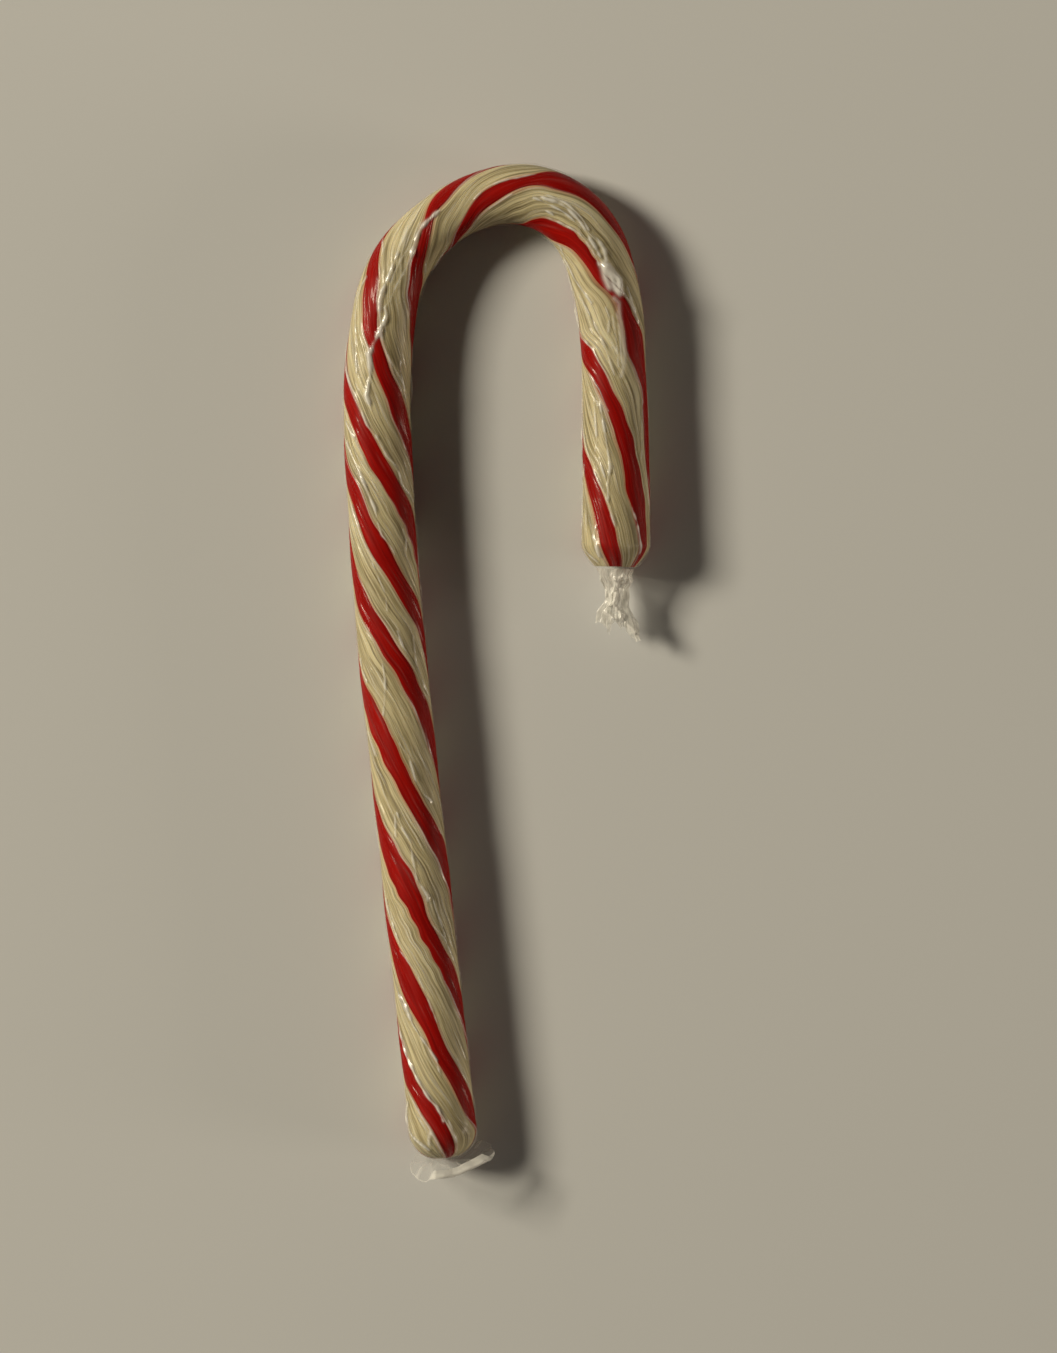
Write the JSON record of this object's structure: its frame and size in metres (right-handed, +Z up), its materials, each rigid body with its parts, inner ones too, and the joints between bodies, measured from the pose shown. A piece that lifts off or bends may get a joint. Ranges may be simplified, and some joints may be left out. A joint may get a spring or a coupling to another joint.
{
  "type": "wrapped candy cane",
  "caption": "Hooked rod of hard sugar candy with red twisted stripes, in clear film that is twisted at its end and splayed at its foot, lying on its side.",
  "frame": {"origin": "middle of the bounding box, on the surface that the cane lies on", "axes": "+Y along the shaft from the foot to the hook, +X from the shaft towards the hook's end, +Z up off the surface"},
  "size_m": [0.0462, 0.1544, 0.0105],
  "materials": {
    "white_candy": "glossy pulled sugar, slightly translucent",
    "red_candy": "glossy boiled sugar, slightly translucent",
    "clear_film": "thin clear crinkled film"
  },
  "bodies": {
    "root": {"candy_body": "white_candy", "red_stripe_1": "red_candy", "red_stripe_2": "red_candy", "red_stripe_3": "red_candy", "red_stripe_4": "red_candy", "wrapper_tail": "clear_film", "wrapper_foot": "clear_film"}
  },
  "joints": []
}
